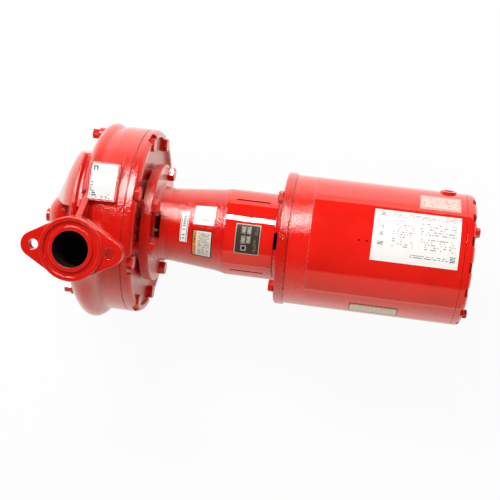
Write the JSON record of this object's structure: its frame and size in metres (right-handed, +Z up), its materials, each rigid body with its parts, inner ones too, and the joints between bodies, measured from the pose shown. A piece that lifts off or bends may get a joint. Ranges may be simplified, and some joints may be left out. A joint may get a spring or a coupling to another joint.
{
  "type": "inline centrifugal pump",
  "caption": "Close-span inline pump with oval pipe flanges, round volute casing, bolted cover, bearing bracket with coupler guard and a cylindrical electric motor.",
  "frame": {"origin": "centre of the lower pipe flange's gasket face, on the pipe line", "axes": "+Z up the pipe line to the upper flange, +X along the shaft from the casing to the motor, shaft line 23 mm towards +Y of the pipe line"},
  "size_m": [0.4845, 0.223, 0.292],
  "materials": {
    "red_casting": "gloss red paint over rough casting",
    "red_screws": "gloss red paint over steel",
    "gasket": "dark fibre gasket edge",
    "bright_plate": "printed metal plate",
    "coupler": "dark cast iron",
    "red_sheet": "smooth gloss red paint on sheet steel",
    "dark_plate": "dark printed plate",
    "white_plate": "white printed foil",
    "steel": "turned steel",
    "white_sticker": "white sticker",
    "cream_sticker": "cream sticker",
    "pale_sticker": "pale sticker",
    "foil_sticker": "foil sticker"
  },
  "bodies": {
    "root": {"bearing_bracket": "red_casting", "bracket_screw_1": "red_screws", "bracket_screw_2": "red_screws", "bracket_screw_3": "red_screws", "bracket_screw_4": "red_screws", "casing_gasket": "gasket", "casing_plate": "bright_plate", "coupler": "coupler", "cover_plate": "red_casting", "cover_screw_1": "red_screws", "cover_screw_2": "red_screws", "cover_screw_3": "red_screws", "cover_screw_4": "red_screws", "cover_screw_5": "red_screws", "cover_screw_6": "red_screws", "cover_screw_7": "red_screws", "cover_screw_8": "red_screws", "guard_lower": "red_sheet", "guard_plate": "dark_plate", "guard_upper": "red_sheet", "motor_front_bell": "red_casting", "motor_plate": "white_plate", "motor_rear_bell": "red_casting", "motor_screw_1": "red_screws", "motor_screw_2": "red_screws", "motor_screw_3": "red_screws", "motor_screw_4": "red_screws", "motor_shaft": "steel", "motor_shell": "red_sheet", "neck_sticker_1": "white_sticker", "neck_sticker_2": "white_sticker", "neck_sticker_3": "cream_sticker", "pump_shaft": "steel", "shell_sticker_lower": "pale_sticker", "shell_sticker_upper": "foil_sticker", "suction_plug": "red_screws", "through_bolt_1": "red_screws", "through_bolt_2": "red_screws", "through_bolt_3": "red_screws", "through_bolt_4": "red_screws", "vent_plug_lower": "red_screws", "vent_plug_upper": "red_screws", "volute_casing": "red_casting"}
  },
  "joints": []
}
